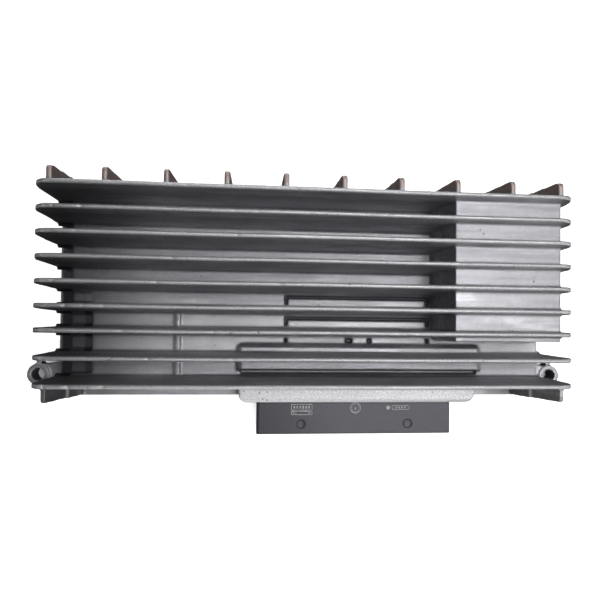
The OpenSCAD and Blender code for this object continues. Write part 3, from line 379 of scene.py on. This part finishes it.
MATERIALS = {
    "cast_aluminium": cast_aluminium(),
    "cover_aluminium": cover_aluminium(),
    "slate_plastic": slate_plastic(),
    "worn_slate": simple("worn_slate", (0.28, 0.28, 0.29), (0.50, 0.50, 0.51), 0.50, 0.0, 300, 1500, 0.05),
    "board_green": board_green(),
    "copper_wire": copper_wire(),
    "blank_foil": blank_foil(),
    "black_rubber": simple("black_rubber", (0.018, 0.018, 0.019), (0.03, 0.03, 0.031), 0.72, relief=0.10),
    "zinc_steel": simple("zinc_steel", (0.50, 0.50, 0.50), (0.64, 0.63, 0.60), 0.30, 1.0, 200, 1600, 0.03),
    "spring_steel": simple("spring_steel", (0.42, 0.42, 0.44), (0.55, 0.55, 0.57), 0.30, 1.0, 60, 900,
                           0.03, (0.2, 2, 2)),
    "gold_plate": simple("gold_plate", (0.75, 0.50, 0.16), (0.86, 0.62, 0.24), 0.22, 1.0, 300, 2000, 0.01),
    "tin_plate": simple("tin_plate", (0.58, 0.57, 0.54), (0.70, 0.69, 0.66), 0.32, 1.0, 250, 1500, 0.02),
    "ferrite": simple("ferrite", (0.030, 0.030, 0.033), (0.055, 0.055, 0.060), 0.50, 0.1, 120, 1300, 0.12),
    "black_plastic": simple("black_plastic", (0.012, 0.012, 0.013), (0.024, 0.024, 0.026), 0.42,
                            relief=0.05),
    "heat_pad": simple("heat_pad", (0.34, 0.40, 0.52), (0.42, 0.48, 0.60), 0.65, 0.0, 90, 1100, 0.10),
    "powder_core": simple("powder_core", (0.46, 0.42, 0.05), (0.58, 0.53, 0.08), 0.48, 0.0, 120, 1000,
                          0.10),
    "choke_core": simple("choke_core", (0.05, 0.15, 0.08), (0.08, 0.21, 0.11), 0.40, 0.0, 120, 1000, 0.06),
    "epoxy_black": simple("epoxy_black", (0.016, 0.016, 0.017), (0.028, 0.028, 0.029), 0.52, relief=0.08),
    "capacitor_sleeve": simple("capacitor_sleeve", (0.014, 0.022, 0.065), (0.022, 0.034, 0.095), 0.28,
                               relief=0.02),
    "film_box": simple("film_box", (0.46, 0.32, 0.035), (0.58, 0.42, 0.06), 0.34, relief=0.04),
    "relay_blue": simple("relay_blue", (0.012, 0.045, 0.19), (0.020, 0.065, 0.26), 0.38, relief=0.04),
    "fuse_ceramic": simple("fuse_ceramic", (0.66, 0.63, 0.55), (0.78, 0.75, 0.68), 0.36, relief=0.03),
    "varistor_blue": simple("varistor_blue", (0.014, 0.075, 0.32), (0.022, 0.10, 0.42), 0.32, relief=0.12),
    "membrane_white": simple("membrane_white", (0.74, 0.74, 0.73), (0.82, 0.82, 0.81), 0.70, relief=0.12),
}

for name, ob in nodes.items():
    slot_name = ob.data.materials[0].name.split(".")[0]
    ob.data.materials[0] = MATERIALS[slot_name]


# ---------------------------------------------------------------- mesh tools
def waves(points, length, seed, count=14):
    """Smooth noise between about -1 and 1, with features of the given length in metres."""
    rng = np.random.default_rng(seed)
    total = np.zeros(len(points))
    for _ in range(count):
        direction = rng.normal(size=3)
        direction *= 2 * math.pi / (length * np.linalg.norm(direction) * rng.uniform(0.7, 1.6))
        total += np.cos(points @ direction + rng.uniform(0, 2 * math.pi))
    return total / math.sqrt(count)


def coordinates(mesh):
    co = np.zeros(len(mesh.vertices) * 3)
    mesh.vertices.foreach_get("co", co)
    return co.reshape(-1, 3)


def applied(ob):
    """The object's mesh with its modifiers applied; the modifiers are removed."""
    graph = bpy.context.evaluated_depsgraph_get()
    mesh = bpy.data.meshes.new_from_object(ob.evaluated_get(graph))
    ob.modifiers.clear()
    ob.data = mesh
    return mesh


def skin(node, voxel, rounds, keep, shape=None):
    """A finer mesh of a CAD node, with softened edges, that stands for it."""
    ob = bpy.data.objects.new(node + "_skin", nodes[node].data.copy())
    bpy.context.scene.collection.objects.link(ob)
    remesh = ob.modifiers.new("remesh", "REMESH")
    remesh.mode = "VOXEL"
    remesh.voxel_size = voxel * 1.0
    soften = ob.modifiers.new("soften", "SMOOTH")
    soften.factor = 0.5
    soften.iterations = rounds
    mesh = applied(ob)
    if shape is not None:
        co = shape(coordinates(mesh))
        mesh.vertices.foreach_set("co", co.ravel())
    if keep < 1.0:
        thin = ob.modifiers.new("thin", "DECIMATE")
        thin.ratio = keep
        mesh = applied(ob)
    mesh.polygons.foreach_set("use_smooth", [True] * len(mesh.polygons))
    mesh.materials.clear()
    mesh.materials.append(nodes[node].data.materials[0])
    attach(ob, "root")
    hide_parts(node)
    return ob


def cast_surface(co):
    """Slight waviness, hand-finished edges and knocks on the fin tips."""
    rng = np.random.default_rng(11)
    height = np.clip((co[:, 2] - 30 * MM) / (30 * MM), 0, 1)
    co[:, 1] += height * 0.10 * MM * waves(co * [1, 0.35, 0.5], 62 * MM, 3)
    co[:, 2] += 0.05 * MM * waves(co, 23 * MM, 4)
    tip = co[:, 2] > TIP_Z - 1.6 * MM
    rows = np.unique(np.round(co[tip, 1] / (5 * MM)))
    for row in rows:
        near_row = tip & (np.abs(co[:, 1] - row * 5 * MM) < 3 * MM)
        for _ in range(5):
            x = rng.uniform(housing_lo.x + 20 * MM, housing_hi.x - 20 * MM)
            half = rng.uniform(0.7, 1.8) * MM
            depth = rng.uniform(0.15, 0.5) * MM
            near = near_row & (np.abs(co[:, 0] - x) < half)
            co[near, 2] -= depth * (1 - ((co[near, 0] - x) / half) ** 2)
    return co


housing = skin("housing", 0.55 * MM, 1, 0.22, cast_surface)
cover = skin("back_cover", 0.6 * MM, 1, 0.3)
header = skin("connector_header", 0.36 * MM, 2, 0.35)


def new_piece(name, bm, material):
    mesh = bpy.data.meshes.new(name)
    bm.normal_update()
    bm.to_mesh(mesh)
    bm.free()
    ob = bpy.data.objects.new(name, mesh)
    bpy.context.scene.collection.objects.link(ob)
    mesh.materials.append(MATERIALS[material])
    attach(ob, "root")
    return ob


def raised(bm, outline, z0, z1):
    """A flat raised shape over a closed outline of XY points."""
    low = [bm.verts.new((x, y, z0)) for x, y in outline]
    high = [bm.verts.new((x, y, z1)) for x, y in outline]
    bm.faces.new(high)
    bm.faces.new(low[::-1])
    count = len(outline)
    for i in range(count):
        j = (i + 1) % count
        bm.faces.new((low[i], low[j], high[j], high[i]))


def raised_band(bm, outer, inner, z0, z1):
    """A raised band between two closed outlines with the same number of points."""
    count = len(outer)
    rings = [[bm.verts.new((x, y, z)) for x, y in line] for line in (outer, inner) for z in (z0, z1)]
    low_out, high_out, low_in, high_in = rings
    for i in range(count):
        j = (i + 1) % count
        bm.faces.new((low_out[i], low_out[j], high_out[j], high_out[i]))
        bm.faces.new((high_out[i], high_out[j], high_in[j], high_in[i]))
        bm.faces.new((high_in[i], high_in[j], low_in[j], low_in[i]))
        bm.faces.new((low_in[i], low_in[j], low_out[j], low_out[i]))


def box_outline(cx, cy, lx, ly, r, steps=4):
    """Outline of a rounded box about a centre, counter-clockwise."""
    points = []
    for sx, sy, start in ((1, 1, 0), (-1, 1, 90), (-1, -1, 180), (1, -1, 270)):
        for k in range(steps + 1):
            a = math.radians(start + 90 * k / steps)
            x = cx + sx * (lx / 2 - r) + r * math.cos(a)
            y = cy + sy * (ly / 2 - r) + r * math.sin(a)
            points.append((x, y))
    return points


def header_marks():
    """Blank moulding marks on the header: a two-line frame, a tick dial and a pill, with no lettering."""
    bm = bmesh.new()
    z0, z1 = HEADER_TOP - 0.1 * MM, HEADER_TOP + 0.14 * MM
    line = 0.35 * MM

    def band(cx, cy, lx, ly, r):
        raised_band(bm, box_outline(cx, cy, lx, ly, r),
                    box_outline(cx, cy, lx - 2 * line, ly - 2 * line, r * 0.4), z0, z1)

    frame_x, frame_y = HEADER_X - 28.1 * MM, COLLAR_Y - 3.0 * MM
    band(frame_x, frame_y, 11.2 * MM, 3.4 * MM, 0.5 * MM)
    band(frame_x, frame_y - 3.0 * MM, 11.2 * MM, 2.0 * MM, 0.5 * MM)
    for k in range(6):
        bar_x = frame_x + (k - 2.5) * 1.55 * MM
        raised(bm, box_outline(bar_x, frame_y, 0.9 * MM, 1.5 * MM, 0.2 * MM), z0, z1)
    for k in (-4.2, -3.1, 3.6, 4.4):
        raised(bm, box_outline(frame_x + k * MM, frame_y - 3.0 * MM, 0.5 * MM, 0.8 * MM, 0.15 * MM), z0, z1)
    dial_x, dial_y = HEADER_X + 0.3 * MM, COLLAR_Y - 3.4 * MM
    ring = [(dial_x + 2.9 * MM * math.cos(a), dial_y + 2.9 * MM * math.sin(a))
            for a in np.linspace(0, 2 * math.pi, 48, endpoint=False)]
    hole = [(dial_x + 2.5 * MM * math.cos(a), dial_y + 2.5 * MM * math.sin(a))
            for a in np.linspace(0, 2 * math.pi, 48, endpoint=False)]
    raised_band(bm, ring, hole, z0, z1)
    for k in range(12):
        a = math.radians(30 * k)
        raised(bm, box_outline(dial_x + 2.0 * MM * math.cos(a), dial_y + 2.0 * MM * math.sin(a),
                               0.5 * MM, 0.5 * MM, 0.2 * MM), z0, z1)
    raised(bm, [(dial_x - 0.5 * MM, dial_y - 0.9 * MM), (dial_x + 0.5 * MM, dial_y - 0.9 * MM),
                (dial_x, dial_y + 1.1 * MM)], z0, z1)
    pill_x, pill_y = HEADER_X + 23.2 * MM, COLLAR_Y - 3.3 * MM
    band(pill_x + 1.4 * MM, pill_y, 9.6 * MM, 2.4 * MM, 1.1 * MM)
    for k in range(4):
        raised(bm, box_outline(pill_x + (k - 0.6) * 1.5 * MM, pill_y, 0.9 * MM, 1.0 * MM, 0.2 * MM), z0, z1)
    raised(bm, box_outline(pill_x - 5.3 * MM, pill_y, 2.0 * MM, 2.2 * MM, 0.9 * MM), z0, z1)
    return new_piece("header_marks", bm, "worn_slate")


header_marks()


# ---------------------------------------------------------------- floor, light and camera
def floor_material():
    s = Shader("floor_detail")
    cloud = s.noise(1.2, 2.0)
    s.bsdf.inputs["Emission Color"].default_value = (1, 1, 1, 1)
    s.put(s.bsdf.inputs["Emission Strength"], s.ramp(s.crevice(16 * MM), 0.10, 0.45, 0.0, 1.0))
    return s.done(s.mix(cloud, (0.66, 0.66, 0.66), (0.70, 0.70, 0.70)), 0.8, 0.0, None, 0.2)


floor_mesh = bpy.data.meshes.new("floor")
reach = 6.0
floor_mesh.from_pydata([(-reach, -reach, 0), (reach, -reach, 0), (reach, reach, 0), (-reach, reach, 0)], [],
                       [(0, 1, 2, 3)])
floor_mesh.materials.append(floor_material())
floor = bpy.data.objects.new("floor", floor_mesh)
bpy.context.scene.collection.objects.link(floor)
floor.location.z = -0.5 * MM
floor.visible_diffuse = False
floor.visible_glossy = False


def backdrop():
    """A pale dome seen only by the camera, so that no view shows a dark horizon."""
    material = bpy.data.materials.new("backdrop_detail")
    material.use_nodes = True
    bsdf = material.node_tree.nodes["Principled BSDF"]
    bsdf.inputs["Base Color"].default_value = (0, 0, 0, 1)
    bsdf.inputs["Emission Color"].default_value = (1, 1, 1, 1)
    bsdf.inputs["Emission Strength"].default_value = 1.0
    bm = bmesh.new()
    bmesh.ops.create_uvsphere(bm, u_segments=48, v_segments=24, radius=reach * 0.98)
    mesh = bpy.data.meshes.new("backdrop")
    bm.to_mesh(mesh)
    bm.free()
    mesh.materials.append(material)
    ob = bpy.data.objects.new("backdrop", mesh)
    bpy.context.scene.collection.objects.link(ob)
    for flag in ("visible_diffuse", "visible_glossy", "visible_shadow", "visible_transmission"):
        setattr(ob, flag, False)


backdrop()

scene = bpy.context.scene
world = bpy.data.worlds.new("studio")
scene.world = world
world.use_nodes = True
world.node_tree.nodes["Background"].inputs["Color"].default_value = (1, 1, 1, 1)
world.node_tree.nodes["Background"].inputs["Strength"].default_value = 0.03


def area_light(name, place, aim, size, watts, height=None):
    data = bpy.data.lights.new(name, "AREA")
    data.shape = "DISK" if height is None else "RECTANGLE"
    data.size = size
    if height is not None:
        data.size_y = height
    data.energy = watts
    ob = bpy.data.objects.new(name, data)
    scene.collection.objects.link(ob)
    ob.location = place
    ob.rotation_mode = "QUATERNION"
    ob.rotation_quaternion = (Vector(aim) - Vector(place)).to_track_quat("-Z", "Y")
    return ob


AIM = (0.02, 0.03, 0.03)
area_light("key", (0.17, 0.06, 0.62), AIM, 0.24, 1.70)
area_light("right", (0.40, 0.10, 0.50), AIM, 0.24, 0.34)
area_light("rear", (0.15, 0.40, 0.50), AIM, 0.24, 0.34)
area_light("front", (0.20, -0.35, 0.50), AIM, 0.24, 0.92)
area_light("near", (-0.05, 0.02, 0.62), AIM, 0.24, 0.22)
# Low panels that light the sides and hardly reach the plate between the fins
area_light("low_rear", (-0.10, 0.80, 0.03), (0, 0, 0.03), 0.6, 2.0, 0.05)
area_light("low_left", (-0.85, 0.05, 0.03), (0, 0, 0.03), 0.4, 1.2, 0.05)
area_light("low_front", (-0.05, -0.85, 0.03), (0, 0, 0.03), 0.6, 2.0, 0.05)
area_light("low_right", (0.85, -0.05, 0.03), (0, 0, 0.03), 0.4, 1.2, 0.05)

camera_data = bpy.data.cameras.new("camera")
camera_data.sensor_width = 36.0
camera_data.lens = 31.861
camera_data.shift_x = -0.00555
camera_data.shift_y = 0.0219
camera_data.clip_start = 0.01
camera_data.clip_end = 50.0
camera = bpy.data.objects.new("camera", camera_data)
scene.collection.objects.link(camera)
camera.location = (-0.026578, 0.026714, 0.292403)
turn = Vector(tuple(math.radians(a) for a in (1.22186, -5.18477, 0.68911)))
camera.rotation_mode = "QUATERNION"
camera.rotation_quaternion = Quaternion(turn.normalized(), turn.length)
scene.camera = camera
scene.view_settings.view_transform = "Standard"
scene.view_settings.look = "None"
